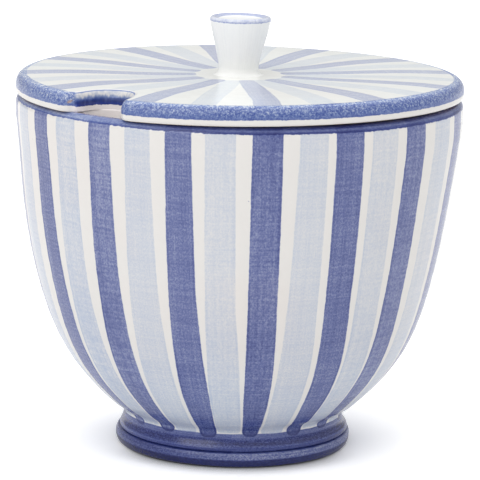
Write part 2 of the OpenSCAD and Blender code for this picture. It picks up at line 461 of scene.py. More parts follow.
def half_outline():
    """Half the outline, from the bottom of the notch round to the far side.

    Columns: x, y, inward normal x, y, how far inside the notch (1 to 0), and
    the angle in degrees of the matching point on the inner rings.
    """
    rows = []
    for k in range(NOTCH_STEPS):
        angle = math.radians(90) * k / NOTCH_STEPS
        cos, sin = math.cos(angle), math.sin(angle)
        lead = ARC_LEAD * k / NOTCH_STEPS
        rows.append((NOTCH_X - NOTCH_R * cos, NOTCH_R * sin, -cos, sin, 1.0, lead))
    for k in range(STRAIGHT_STEPS):
        share = k / STRAIGHT_STEPS
        lead = ARC_LEAD + (STRAIGHT_LEAD - ARC_LEAD) * share
        rows.append((NOTCH_X + (corner_x - NOTCH_X) * share, NOTCH_R, 0.0, 1.0, 1.0, lead))
    for k in range(CORNER_STEPS):
        share = k / CORNER_STEPS
        angle = -math.pi / 2 + (tip + math.pi / 2) * share
        cos, sin = math.cos(angle), math.sin(angle)
        deep = 1 - step(share, 0.05, 0.95)
        lead = STRAIGHT_LEAD + (CORNER_LEAD - STRAIGHT_LEAD) * share
        x, y = corner_x + CORNER_R * cos, corner_y + CORNER_R * sin
        rows.append((x, y, -cos, -sin, deep, lead))
    tip_deg = math.degrees(tip)
    for k in range(EDGE_STEPS + 1):
        angle = tip + (math.pi - tip) * k / EDGE_STEPS
        cos, sin = math.cos(angle), math.sin(angle)
        lead = math.degrees(angle)
        lead += (CORNER_LEAD - tip_deg) * (1 - step(lead, tip_deg, 40.0))
        rows.append((LID_R * cos, LID_R * sin, -cos, -sin, 0.0, lead))
    return np.array(rows)


def right_pull(place):
    """How much closer (mm) the hand-cut notch is to its axis on the right,
    by angle round the notch from its inner end."""
    stops = [0, 10, 25, 45, 60, 80, 90, 96, 104, 112]
    return np.interp(place, stops, [0, 0.15, 0.60, 1.20, 1.45, 1.10, 0.62, 0.28, 0.05, 0])


mirror = slice(-2, 0, -1)  # the way back, without the two shared end points


def both_halves(right, left):
    return np.concatenate([right, left[mirror] * [1, -1]])


half = half_outline()
half_xy, half_in, half_deep, half_lead = half[:, :2], half[:, 2:4], half[:, 4], half[:, 5]
notch_place = np.concatenate(
    [
        np.arange(NOTCH_STEPS) / NOTCH_STEPS * 90.0,
        90 + np.arange(STRAIGHT_STEPS + CORNER_STEPS),
        np.full(EDGE_STEPS + 1, 120.0),
    ]
)
left_pull = np.interp(notch_place, [50, 78, 92, 104], [0, 0.35, 0.30, 0])
plan = both_halves(
    half_xy - half_in * right_pull(notch_place)[:, None], half_xy - half_in * left_pull[:, None]
)
plan_in = both_halves(half_in, half_in)
plan_deep = np.concatenate([half_deep, half_deep[mirror]])
plan_lead = np.radians(np.concatenate([half_lead, -half_lead[mirror]]))
notch_turn = math.radians(-90 + NOTCH_AZIMUTH)
turn_cos, turn_sin = math.cos(notch_turn), math.sin(notch_turn)
turn_plan = np.array([[turn_cos, -turn_sin], [turn_sin, turn_cos]]).T

DOME_R = [0.0, 9.0, 18.0, 28.0, 36.0, 42.0, 48.0, 53.6]
DOME_Z = [0.0, 0.0, 0.02, 0.17, 0.30, 0.34, 0.27, 0.15]


def top_z(radius):
    """A slow swell between the knob and the shoulder."""
    return KNOB_Z + smooth_interp(radius, DOME_R, DOME_Z, 6.0)


def lid_warp(x, y):
    """The plate is not quite flat: it is lower on the left and waves a little."""
    angle = np.arctan2(x, -y)
    out = np.hypot(x, y) / 56.0
    degrees = np.degrees(angle) % 360.0
    back_right = step(degrees, 68.0, 96.0) * (1 - step(degrees, 158.0, 185.0))
    wave = 0.06 * np.sin(2 * angle + 0.9) + 0.04 * np.sin(3 * angle + 2.2)
    # waves round the plate, their cosine and sine sizes
    sizes = ((1, -0.05, -0.06), (2, -0.056, 0.12), (3, -0.055, 0.064))
    edge = sum(c * np.cos(n * angle) + s * np.sin(n * angle) for n, c, s in sizes)
    return 0.0042 * x + out**2 * wave + 0.038 + out**1.5 * (edge - 0.22 * back_right)


shoulder_w = 2.4 - 1.0 * plan_deep  # tighter inside the notch
shoulder_h = 2.8 - 0.65 * plan_deep
bottom_w = 0.5 - 0.5 * plan_deep  # rounding at the bottom edge, none in the notch
lid_rows, lid_z, lid_inset = [], [], []


def add_row(xy, z, inset):
    lid_rows.append(xy)
    lid_z.append(z + np.zeros(len(plan)))
    lid_inset.append(inset + np.zeros(len(plan)))


def ring(radius):
    return radius * np.stack([np.cos(plan_lead), np.sin(plan_lead)], 1)


RING_R = 41.0  # inside this the rows are true circles
# underside, from the axis out to the bottom edge
for radius in (0.0, 6.0, 14.0, 22.0, 30.0, 36.0, RING_R):
    add_row(ring(radius), LID_Z, 60.0 - radius)
bottom_xy = plan + plan_in * bottom_w[:, None]
for t in (0.25, 0.5, 0.75, 1.0):
    add_row(ring(RING_R) * (1 - t) + bottom_xy * t, LID_Z, bottom_w + (1 - t) * 12)
BOTTOM_ROW = len(lid_rows) - 1
# the rounded bottom edge, the side, then the shoulder
bottom_h = 0.35 + 0.55 * bottom_w / 0.5
for u, v in bezier([1, 0], [0.55, 0.02], [0, 0.5], [0, 1], 9)[1:]:
    add_row(plan + plan_in * (bottom_w * u)[:, None], LID_Z + v * bottom_h, bottom_w * u)
shoulder_xy = plan + plan_in * shoulder_w[:, None]
shoulder_top = top_z(np.linalg.norm(shoulder_xy, axis=1))
side_top = shoulder_top - shoulder_h
for t in (0.34, 0.67, 1.0):
    add_row(plan, (LID_Z + bottom_h) * (1 - t) + side_top * t, 0.0)
for u, v in bezier([0, 0], [0, 0.63], [0.43, 1], [1, 1], 16)[1:]:
    z = side_top + (shoulder_top - side_top) * v
    add_row(plan + plan_in * (shoulder_w * u)[:, None], z, shoulder_w * u)
SHOULDER_ROW = len(lid_rows) - 1
# the top, from the shoulder in to the rings, then in to the axis
for t in (0.03, 0.08, 0.15, 0.25, 0.36, 0.48, 0.6, 0.72, 0.84, 0.93, 1.0):
    xy = shoulder_xy * (1 - t) + ring(RING_R) * t
    add_row(xy, top_z(np.linalg.norm(xy, axis=1)), shoulder_w + t * 12.0)
top_radii = [np.linspace(39.6, 15.0, 22), np.linspace(14.4, 9.6, 14), [9, 8.2, 7.2, 6, 4, 0]]
for radius in np.concatenate(top_radii):
    add_row(ring(radius), top_z(radius), 60.0 - radius)

lid_z, lid_inset = np.array(lid_z), np.array(lid_inset)
lid_pts = np.concatenate([np.array(lid_rows) @ turn_plan, lid_z[..., None]], 2)
# the hand-cut notch: its wall is not dead straight
lid_arc = np.broadcast_to(arc_lengths(plan), lid_z.shape)
notch_wall = (lid_inset < 0.01) * plan_deep
cut_wave = 0.10 * np.sin(lid_arc * 0.55 + 0.4) + 0.06 * np.sin(lid_arc * 1.3 + lid_z)
cut_wave *= step(lid_z, LID_Z + 0.8, LID_Z + 2.0)
lid_pts[..., :2] -= (plan_in @ turn_plan)[None] * (notch_wall * np.abs(cut_wave))[..., None]
lid_pts[..., 0] += LID_X
lid_pts[..., 2] += lid_warp(lid_pts[..., 0], lid_pts[..., 1])

lid_x, lid_y = lid_pts[..., 0], lid_pts[..., 1]
lid_r = np.hypot(lid_x, lid_y)
is_top = np.zeros(lid_z.shape)
is_top[BOTTOM_ROW:] = 1

# ---- strokes running out from the knob: azimuths, and how far each wanders
# (degrees) at the radii BEND_R
DARK_AT = [-170.5, -142.8, -113.2, -84.7, -55.6, -24.9, 8.1, 39.3, 71.6, 101.6, 128.7, 157.1]
BEND_R = [16.0, 22.0, 30.0, 38.0, 46.0, 51.0]
DARK_BEND = [
    (0.0, 0.0, -0.6, -1.0, -1.1, -1.2), (-0.4, 0.0, -0.6, -1.1, -1.6, -2.1),
    (0.4, 0.4, -0.4, -1.4, -1.5, -1.6), (0.2, 0.9, -0.9, -2.0, -1.9, -1.5),
    (1.0, 0.4, -0.8, -2.5, -2.1, -1.6), (0.0, 0.1, -0.4, -1.1, -0.8, -0.5),
    (0.6, 0.4, 0.2, -0.1, -0.1, -0.8), (0.6, -0.6, -0.6, -0.8, -1.2, -2.2),
    (-0.4, -1.4, -1.2, -1.4, -1.1, -2.2), (-0.6, -0.6, 0.0, 0.0, -0.4, -1.2),
    (-0.8, -1.2, 0.1, 0.2, -0.6, -0.9), (0.4, -0.4, 0.4, 0.4, 0.0, -0.2),
]  # fmt: skip
# each light stroke lies midway between two dark ones
LIGHT_AT = [0.5 * (a + b) for a, b in zip(DARK_AT, DARK_AT[1:] + [DARK_AT[0] + 360])]
LIGHT_BEND = [
    tuple(0.5 * (u + v) for u, v in zip(a, b))
    for a, b in zip(DARK_BEND, DARK_BEND[1:] + DARK_BEND[:1])
]
# half width in mm, by radius
DARK_HALF = ([11, 14, 22, 30, 54], [1.9, 2.1, 2.55, 2.75, 3.35])
LIGHT_HALF = ([11, 20, 35, 54], [2.3, 2.7, 3.0, 3.2])


def lid_strokes(angles, bends, half_widths, end_r, corner):
    """Strokes for nearest_stripe, ending inwards near end_r."""
    for k, degrees in enumerate(angles):
        bend = smooth_interp(lid_r.mean(1), BEND_R, bends[k], 5.0)
        angle = np.radians(degrees + bend)[:, None]
        out = lid_x * np.sin(angle) - lid_y * np.cos(angle)
        across = lid_x * np.cos(angle) + lid_y * np.sin(angle)
        half_width = np.interp(out, *half_widths) * (1 + 0.05 * math.sin(k * 2.1))
        end = out - (end_r + 0.35 * math.sin(k * 1.9))
        yield half_width - np.abs(across), end, across, corner


lid_attrs = paint_attrs(
    lid_strokes(DARK_AT, DARK_BEND, DARK_HALF, end_r=11.0, corner=1.3),
    lid_strokes(LIGHT_AT, LIGHT_BEND, LIGHT_HALF, end_r=11.4, corner=1.0),
    lid_r,
    is_top > 0,
)
lid_attrs |= {
    "inset": lid_inset,
    "notch": np.broadcast_to(plan_deep, lid_z.shape),
    "arc_mm": lid_arc,
    "rise_mm": lid_z - LID_Z,
    "face_side": is_top,
}
lid_strips = [
    (0, BOTTOM_ROW, "disc", 0.85, 0.85, 0.14),
    (BOTTOM_ROW, SHOULDER_ROW, 4, 0.005, 0.70, 0.70, 1.0),
    (SHOULDER_ROW, len(lid_rows), "disc", 0.35, 0.35, 0.34),
]
lid = build_piece("lid_plate", lid_pts, lid_strips, "lid", "lid", lid_attrs)

# ================================================================ the flange
FLANGE_T = 4.4
FLANGE_H = LID_Z - FLANGE_Z


def flange_plan(radius, notch_r, fillet, pull=0.0):
    """Half of a circle bitten by the notch circle, the corner eased by a fillet."""
    arc_steps, fillet_steps, edge_steps = 36, 14, 190
    # the fillet touches the outer circle from inside and the notch from outside
    reach, gap = radius - fillet, notch_r + fillet
    x = (reach * reach + NOTCH_X**2 - gap * gap) / (2 * NOTCH_X)
    y = math.sqrt(max(reach * reach - x * x, 0))
    arc_end = math.atan2(y, NOTCH_X - x)
    edge_start = math.atan2(y, x)
    points = []
    for k in range(arc_steps):
        angle = arc_end * k / arc_steps
        bite = notch_r - pull * right_pull(math.degrees(angle))
        points.append((NOTCH_X - bite * math.cos(angle), bite * math.sin(angle)))
    start = math.atan2(-math.sin(arc_end), math.cos(arc_end))
    for k in range(fillet_steps):
        angle = start + (edge_start - start) * k / fillet_steps
        points.append((x + fillet * math.cos(angle), y + fillet * math.sin(angle)))
    for k in range(edge_steps + 1):
        angle = edge_start + (math.pi - edge_start) * k / edge_steps
        points.append((radius * math.cos(angle), radius * math.sin(angle)))
    return np.array(points)


flange_out = both_halves(
    flange_plan(FLANGE_R, NOTCH_R, 0.35, pull=1.0), flange_plan(FLANGE_R, NOTCH_R, 0.35)
)
half_inner = flange_plan(FLANGE_R - FLANGE_T, NOTCH_R + FLANGE_T, 1.6)
flange_in = both_halves(half_inner, half_inner)
# section: share of the way in from the outer face, and height from the bottom
section = np.concatenate(
    [
        [[1.0, FLANGE_H + 0.05], [1.0, FLANGE_H * 0.66], [1.0, FLANGE_H * 0.36]],
        bezier([1.0, 1.5], [1.0, 0.4], [0.86, 0.0], [0.64, 0.0], 10),
        bezier([0.36, 0.0], [0.14, 0.0], [0.0, 0.4], [0.0, 1.5], 10),
        [[0.0, FLANGE_H * 0.36], [0.0, FLANGE_H * 0.55]],
        [[0.0, FLANGE_H - drop] for drop in (1.3, 0.95, 0.6, 0.3, -0.05)],
    ]
)
out_r = np.hypot(flange_out[:, 0], flange_out[:, 1])
on_edge = step(out_r, FLANGE_R - 0.9, FLANGE_R - 0.05)
flange_rows = []
for share, height in section:
    # a cove spreads the outer face where it meets the lid
    spread = 0.9 * step(height, FLANGE_H - 1.3, FLANGE_H) * (1 - share)
    coved = flange_out * (1 + spread * on_edge / out_r)[:, None]
    xy = (coved * (1 - share) + flange_in * share) @ turn_plan
    flange_rows.append(np.column_stack([xy, np.full(len(xy), FLANGE_Z + height)]))
flange_pts = np.array(flange_rows)
flange_r = np.hypot(flange_pts[..., 0], flange_pts[..., 1])
flange_angle = np.arctan2(flange_pts[..., 0], -flange_pts[..., 1])
low = step(LID_Z - flange_pts[..., 2], 0.2, 3.0)
flange_wave = low * (0.06 * np.sin(5 * flange_angle) + 0.04 * np.sin(9 * flange_angle + 1))
flange_pts[..., :2] *= (1 + flange_wave / flange_r)[..., None]
flange_pts[..., 0] += LID_X
flange_pts[..., 2] += lid_warp(flange_pts[..., 0], flange_pts[..., 1])
flange_pts[..., 2] += low * 0.06 * np.sin(4 * flange_angle + 0.7)
flange_attrs = {
    "round_mm": np.broadcast_to(arc_lengths(flange_out), flange_r.shape),
    "drop_mm": LID_Z - flange_pts[..., 2],
}
flange = build_piece(
    "flange_wall", flange_pts, [(0, len(section), 2, 0.01, 0.01, 0.99, 0.99)],
    "lid", "lid_flange", flange_attrs, closed=True,
)

# ================================================================== the knob
KNOB_COLUMNS = 384


def knob_curve(from_z, points, count):
    """A Bezier whose heights are measured from from_z."""
    return bezier(*[(r, from_z + z) for r, z in points], count)


stem = bezier(
    [4.98, KNOB_Z + 2.0], [5.25, KNOB_Z + 4.2], [7.0, KNOB_TOP - 4.6], [7.62, KNOB_TOP - 1.3], 60
)
knob_parts = [
    # hidden underside, spreading foot, stem, outer lip, inner lip, dished top
    np.array([[0.0, KNOB_Z - 0.3], [4.0, KNOB_Z - 0.3], [6.9, KNOB_Z - 0.25]]),
    knob_curve(KNOB_Z, [(6.5, -0.02), (5.5, 0.06), (5.0, 0.6), (4.96, 1.9)], 12),
    resample(stem, 26),
    knob_curve(KNOB_TOP, [(7.64, -1.2), (7.80, -0.6), (7.62, -0.02), (7.08, 0)], 14),
    knob_curve(KNOB_TOP, [(6.95, 0), (6.4, -0.02), (6.0, -0.32), (5.3, -0.56)], 10),
    knob_curve(KNOB_TOP, [(5.0, -0.64), (3.8, -0.82), (1.5, -0.9), (0, -0.9)], 9),
]
knob_profile = np.concatenate(knob_parts)
TOP_DISC_ROW = sum(len(part) for part in knob_parts[:4]) - 8
knob_pts, knob_angle = turned(knob_profile, KNOB_COLUMNS)
knob_r = np.hypot(knob_pts[..., 0], knob_pts[..., 1])
knob_z = knob_pts[..., 2]  # a view: it follows the changes of height below
on_stem = step(knob_z, KNOB_Z + 0.6, KNOB_Z + 2.6)
on_stem *= (1 - step(knob_z, KNOB_TOP - 2.2, KNOB_TOP - 0.9)) * (knob_r > 4.9)
flutes = 0.010 * np.sin(61 * knob_angle + 0.8 * np.sin(3 * knob_angle))
flutes += 0.008 * np.sin(43 * knob_angle + 1.3 + knob_z / 9)
oval = 0.05 * np.sin(2 * knob_angle + 1.0) + 0.03 * np.sin(3 * knob_angle)
oval *= step(knob_z, KNOB_Z + 1, KNOB_Z + 8) * step(knob_r, 2, 6)
knob_pts[..., :2] *= (1 + (on_stem * flutes + oval) / np.maximum(knob_r, 1e-6))[..., None]
near_top = step(knob_z, KNOB_TOP - 2, KNOB_TOP - 0.5) * step(knob_r, 1, 6)
knob_z += 0.05 * np.sin(2 * knob_angle + 0.3) * near_top
# the foot of the knob follows the warp of the lid
near_lid = 1 - step(knob_z, KNOB_Z + 0.1, KNOB_Z + 1.5)
knob_z += near_lid * lid_warp(knob_pts[..., 0], knob_pts[..., 1])
# thrown a little off plumb
knob_lean = np.interp(knob_z - KNOB_Z, [0, 2, 8, 14], [-0.31, -0.31, -0.12, -0.05])
knob_pts[..., 0] += LID_X * 0.5 + knob_lean
knob_strips = [
    (0, 3, "disc", 0.1, 0.9, 0.09),
    (3, TOP_DISC_ROW, 2, 0.01, 0.0, 0.99, 0.66),
    (TOP_DISC_ROW, len(knob_profile), "disc", 0.5, 0.83, 0.155),
]
knob_attrs = {
    "round_mm": (knob_angle - math.pi) * 6.4,
    "from_axis": knob_r,
    "up_mm": knob_z - KNOB_Z,
}
knob = build_piece("lid_knob", knob_pts, knob_strips, "lid", "knob", knob_attrs)


# ============================================================= shader trees
class Value:
    """A socket in a shader tree: arithmetic on it adds nodes."""

    def __init__(self, shader, socket):
        self.shader, self.socket = shader, socket

    def __add__(self, other):
        return self.shader.math("ADD", self, other)

    def __sub__(self, other):
        return self.shader.math("SUBTRACT", self, other)

    def __rsub__(self, other):
        return self.shader.math("SUBTRACT", other, self)

    def __mul__(self, other):
        return self.shader.math("MULTIPLY", self, other)

    __radd__ = __add__

    def max(self, other):
        return self.shader.math("MAXIMUM", self, other)

    def sqrt(self):
        return self.shader.math("SQRT", self)

    def clamp(self, lowest=0, highest=1):
        return self.shader.add("Clamp", {0: self, 1: lowest, 2: highest})

    def step(self, start, end):
        """0 at start, 1 at end, smooth between. Start may be above end."""
        span = (start, end, 0, 1) if start <= end else (end, start, 1, 0)
        inputs = dict(enumerate((self, *span)))
        return self.shader.add("MapRange", inputs, interpolation_type="SMOOTHSTEP")

    def band(self, rise, full, fade, end):
        """0 below rise, 1 from full to fade, 0 above end."""
        return self.step(rise, full) * self.step(end, fade)

    def mix(self, low, high):
        """low where this is 0, high where it is 1."""
        return self.shader.add("Mix", {0: self, 2: low, 3: high}, data_type="FLOAT")

    def ramp(self, start, end, low, high):
        """low at start, high at end, smooth between."""
        return self.step(start, end).mix(low, high)

    def swing(self, size):
        """A 0..1 value recentred on zero, with this full swing."""
        return (self - 0.5) * size


class Shader:
    """The node tree of a material or a world."""

    def __init__(self, owner):
        self.owner = owner
        owner.use_nodes = True
        self.tree = owner.node_tree
        self.cache = {}

    def put(self, socket, value):
        if isinstance(value, Value):
            self.tree.links.new(value.socket, socket)
        elif value is not None:
            socket.default_value = value

    def node(self, kind, inputs, **props):
        node = self.tree.nodes.new("ShaderNode" + kind)
        for key, value in props.items():
            setattr(node, key, value)
        for key, value in inputs.items():
            self.put(node.inputs[key], value)
        return node

    def add(self, kind, inputs, output=0, **props):
        return Value(self, self.node(kind, inputs, **props).outputs[output])

    def math(self, operation, a, b=None):
        return self.add("Math", {0: a, 1: b}, operation=operation)

    def attr(self, name, part="Fac"):
        if name not in self.cache:
            props = {"attribute_type": "GEOMETRY", "attribute_name": name}
            self.cache[name] = self.add("Attribute", {}, part, **props)
        return self.cache[name]

    def place(self):
        """Object position in millimetres, as (vector, x, y, z)."""
        if "place" not in self.cache:
            position = self.add("TexCoord", {}, "Object")
            scaled = self.add("VectorMath", {0: position, "Scale": 1000}, operation="SCALE")
            self.cache["place"] = (scaled, *self.split(scaled))
        return self.cache["place"]

    def split(self, vector):
        return [Value(self, out) for out in self.node("SeparateXYZ", {0: vector}).outputs]

    def vector(self, *parts):
        return self.add("CombineXYZ", dict(enumerate(parts)))

    def colour(self, *parts):
        return self.add("CombineColor", dict(enumerate(parts)))

    def noise(self, vector, scale=1, detail=2, rough=0.5, warp=0):
        """Smooth noise about 0.5, with scale features per unit of the vector."""
        if isinstance(vector, tuple):
            vector = self.vector(*vector)
        inputs = {"Vector": vector, "Scale": scale, "Detail": detail}
        inputs |= {"Roughness": rough, "Distortion": warp}
        return self.add("TexNoise", inputs, noise_dimensions="3D")

    def surface(self, value):
        self.node("OutputMaterial", {0: value})
        return self.owner


def new_shader(name):
    shader = Shader(bpy.data.materials.new(name))
    shader.tree.nodes.clear()
    return shader


def mix_each(factor, lows, highs):
    return [factor.mix(low, high) for low, high in zip(lows, highs)]


# ============================================================ glaze and brush
# what one coat of each pigment lets through, red green blue (linear)
STRIPE_T = (0.170, 0.212, 0.482)
BAND_T = (0.150, 0.226, 0.545)
WASH_T = (0.790, 0.843, 0.945)
# painted shade: the glaze white below is darkened to stand in for the shade on the sides of the bowl,
# the foot and the edge of the lid; the lid top, knob, flange and low notch wall use lighter copies of
# the same glaze (painted light)
SHADED_WHITE = (0.676, 0.657, 0.635)
WARM_TINT = (1.002, 0.984, 0.978)
PINHOLE = (0.45, 0.42, 0.25)  # how much a pinhole darkens each channel
CLAY_DARK = (0.430 * 0.55, 0.290 * 0.5, 0.175 * 0.45, 1)
CLAY_LIGHT = (0.430 * 1.25, 0.290 * 1.25, 0.175 * 1.3, 1)


def glazed(shader, dark, wash, bare, relief, gloss, pigment=STRIPE_T, white=SHADED_WHITE, seed=0):
    """A white glaze with pigment in it.

    dark: coats of pigment (0 none, 1 a full stripe); wash: coats of the pale
    wash; bare: 0..1 bare clay; relief: extra height in mm; gloss: roughness.
    """
    noise = shader.noise
    place, x, y, z = shader.place()
    warm = noise(place, scale=0.035).step(0.46, 0.68)
    fine = noise(place, scale=1.5, detail=3, rough=0.6)
    cells = {"Vector": shader.vector(x + seed, y, z), "Scale": 0.33}
    speck = shader.add("TexVoronoi", cells, "Distance", feature="F1")
    pin = speck.step(0.060, 0.035) * noise(place, scale=0.21, detail=1).step(0.58, 0.66)
    tone = fine.mix(0.985, 1.012)
    channels = []
    for k in range(3):
        channel = warm.mix(1, WARM_TINT[k]) * white[k] * tone
        channel = channel * shader.math("POWER", pigment[k], dark)
        if wash is not None:
            channel = channel * shader.math("POWER", WASH_T[k], wash)
        channels.append(channel * (1 - pin * PINHOLE[k]))
    colour = shader.colour(*channels)
    rough = noise(place, scale=0.4).mix(gloss - 0.03, gloss + 0.06) + dark.clamp() * 0.05
    height = relief + noise(place, scale=0.16, detail=1) * 0.05 + fine * 0.004 - pin * 0.03
    if bare is not None:
        grit = noise(place, scale=3, detail=4, rough=0.7)
        clays = {0: grit.step(0.3, 0.7), 6: CLAY_DARK, 7: CLAY_LIGHT}
        clay = shader.add("Mix", clays, 2, data_type="RGBA")
        colour = shader.add("Mix", {0: bare, 6: colour, 7: clay}, 2, data_type="RGBA")
        rough = bare.mix(rough, 0.85)
        height = height + bare * (grit * 0.06 - 0.05)
    bump = shader.add("Bump", {"Strength": 1, "Distance": 0.001, "Height": height})
    inputs = {"Base Color": colour, "Roughness": rough, "Normal": bump}
    inputs |= {"IOR": 1.5, "Specular IOR Level": 0.5}
    return shader.surface(shader.add("BsdfPrincipled", inputs))


def brushed(shader, brush, depth, edge=1, contrast=1):
    """Coats inside a stroke, about 1 on average, with its grain and pooled edge.

    Hair lines and strands run along it, speckle breaks it up, faint turning
    lines cross it, and pigment pools darker at its edge.
    """
    noise = shader.noise
    across, along, number = shader.split(brush)
    shift = number * 13.7  # gives each stroke its own noise
    hair = noise((across * 2.3 + shift, along * 0.045, shift), detail=3, rough=0.65)
    strand = noise((across * 0.7 + shift, along * 0.014, shift + 4), detail=1)
    grain = noise((across * 1.15 + shift, along * 0.85, shift), 2.3, detail=3, rough=0.72)
    speckle = grain.step(0.33, 0.67)
    turning = noise((across * 0.09 + shift, along * 1.7, shift * 0.1), detail=3, rough=0.68)
    cloud = noise((across * 0.5 + shift, along * 0.35, shift + 9), scale=0.16)
    pooled = depth.band(0, 0.22, 0.30, 0.75)
    pool_where = noise((shift, along * 0.06, across * 0.15), detail=1).step(0.42, 0.62)
    uneven = hair.swing(0.75) + strand.swing(0.45) + speckle.swing(0.52)
    uneven = uneven + turning.swing(0.85) + cloud.swing(0.35)
    coats = 1 + uneven * contrast + pooled * pool_where * 0.28 * edge
    return coats, grain, pooled


# ================================================================= materials
def bowl_material():
    shader = new_shader("striped_glaze")
    noise, attr = shader.noise, shader.attr
    place, x, y, z = shader.place()
    around = attr("round_mm")
    outside = attr("face_side").step(0.2, 0.6)
    dark_brush, light_brush = attr("dark_brush", "Vector"), attr("light_brush", "Vector")
    dark_depth, light_depth = attr("dark_sd"), attr("light_sd")

    # the stripes, their edges wobbling; heavier to the left and lower down
    _, along, number = shader.split(dark_brush)
    wobble = noise((number * 9.1, along * 0.16, around * 0.05)).swing(0.30)
    wobble = wobble + noise((around * 0.8, along * 0.9, 3)).swing(0.22)
    in_dark = (dark_depth + wobble).step(-0.11, 0.11)
    in_light = (light_depth + wobble * 1.2).step(-0.11, 0.11)
    coats, grain, pooled = brushed(shader, dark_brush, dark_depth)
    coats = coats * attr("load") * x.ramp(-24, -38, 1, 1.26) * z.ramp(24, 11, 1, 1.10)
    wash, _, _ = brushed(shader, light_brush, light_depth, edge=1.2, contrast=1.5)
    wash = wash * z.ramp(55, 12, 0.98, 1.40) * x.ramp(-18, -36, 1, 1.40)
    wash = wash * x.ramp(44, 52, 1, 1.30)

    # the band round the rim, and its ragged lower edge
    rag = noise((around * 0.9, z * 0.22, 1), detail=3, rough=0.65).swing(0.9)
    rag = rag + noise((around * 0.06, 0, 7), detail=1).swing(0.7)
    rim_gap = z - 87.50 + x * 0.0042 + rag * 0.75  # height above the edge
    on_rim = rim_gap.step(-0.12, 0.14) * outside
    inside = 1 - outside
    rim_in = (z - 88.2 + rag).step(-0.12, 0.14) * inside
    mottle = noise(place, scale=1.1, detail=3, rough=0.62)
    blot = noise((around * 0.10, z * 0.6, 2))
    rim_line = rim_gap.band(-0.08, 0.08, 0.18, 0.62)
    fleck = noise((around * 0.9, z * 1.6, 4), scale=2.2, detail=3, rough=0.7).step(0.36, 0.66)
    drag = noise((around * 0.07, z * 3.2, 9), detail=3, rough=0.65)
    rim_load = x.ramp(-44, -4, 0.40, 1.14) - x.step(22, 50) * 0.24
    rim_coats = rim_load + fleck.swing(0.50) + mottle.swing(0.5) + drag.swing(0.9)
    rim_coats = rim_coats + blot.swing(0.4) + rim_line * 0.30
    # the first term darkens the band towards the crest: partly heavier paint, partly painted shade
    # under the lid's overhang
    rim_coats = rim_coats + z.step(87.95, 88.75) * 0.40 + z.step(88.4, 87.7) * 0.62
    rim_coats = rim_coats.clamp(0.15, 2.6) * on_rim.max(rim_in)

    # the band round the waist, streaked round the bowl
    sweep = noise((around * 0.030, z * 2.3, 5), detail=4, rough=0.68)
    dust = noise((around, z * 1.3, 8), scale=2.4, detail=3, rough=0.7)
    dust = noise((around * 1, z * 1.3, 8), scale=2.4, detail=3, rough=0.7).step(0.36, 0.66)
    foot_gap = 8.10 - z + noise((around * 0.25, 0, 4)).swing(0.35)  # depth below the edge
    on_foot = foot_gap.step(-0.10, 0.10) * outside
    foot_line = foot_gap.band(-0.05, 0.05, 0.12, 0.45)
    deep_row = z.step(7.05, 6.25) * z.step(4.6, 5.4)
    foot_coats = 1.22 + sweep.swing(2.2) + dust.swing(0.45)
    # the last term darkens the band down into the crease: painted shade
    foot_coats = foot_coats + deep_row * (1 + dust.swing(0.9)) + z.step(4.9, 4.3) * 0.65
    foot_coats = (foot_coats.clamp(0.5, 3.2) + foot_line * 0.12) * on_foot

    outline = pooled * z.step(12, 8.2) * 0.35
    dark = in_dark * coats * (1 - on_foot * 0.62) * (1 - on_rim * 0.80)
    dark = dark + in_dark * outline + rim_coats + foot_coats
    wash = in_light * wash * (1 - on_foot) * (1 - on_rim)
    cool = on_rim.max(rim_in) * x.ramp(-10, -40, 0.25, 0.70)
    # a broken line of bare clay round the crest of the rim
    seat_r = (x * x + y * y).sqrt()
    seat_wobble = noise((around * 0.35, 1, 1)).swing(0.9)
    bare = (seat_r + seat_wobble).step(53, 53.25) * (seat_r + seat_wobble).step(53.95, 53.7)
    bare = bare * z.step(88.6, 88.8) * mottle.step(0.40, 0.62) * 0.7
    relief = in_dark * 0.020 + on_rim.max(on_foot) * 0.022 + in_dark * grain * 0.006
    # painted light: the white is brighter low down, standing in for light thrown up from the floor
    white = [z.ramp(36, 14, base, base * gain) for base, gain in zip(SHADED_WHITE, (1.06, 1.09, 1.10))]
    pigment = mix_each(cool, STRIPE_T, BAND_T)
    return glazed(shader, dark, wash, bare, relief, gloss=0.14, pigment=pigment, white=white)


def foot_material():
    shader = new_shader("foot_blue_glaze")
    noise = shader.noise
    _, x, y, z = shader.place()
    around = shader.attr("round_mm")
    radius = (x * x + y * y).sqrt()
    sweep = noise((around * 0.028, z * 2.6, 2), detail=4, rough=0.7)
    dust = noise((around * 1, z * 1.2, 6), scale=2.2, detail=3, rough=0.7).step(0.36, 0.66)
    streak = noise((around * 0.05, z * 2.2, 6), rough=0.6).step(0.50, 0.60)
    # darker low on the bead: partly glaze pooled there, partly painted shade on its underside
    low = z.step(2.05, 1.70)
    # painted highlight: the paint is thinner on the crown of the bead, most of all at the front,
    # where the ridge catches the light
    lit_crown = z.band(1.7, 2.3, 3.3, 3.8)
    coats = 1.30 + sweep.swing(1.1) + dust.swing(0.75) + streak * 0.20 + low * 1.15
    coats = coats - lit_crown * (0.12 + x.band(-12, 6, 18, 30) * 0.30)
    # the last term darkens the top of the bead by the crease: painted shade
    coats = coats + x.step(-2, -22) * 0.40 + z.step(3.40, 3.72) * 0.40
    bare = z.step(0.10, 0.04) * radius.step(28.6, 28.3) * radius.step(24.6, 24.9)
    blue = coats * radius.step(26.9, 27.9)
    return glazed(shader, blue, None, bare, blue * 0.02, gloss=0.15)


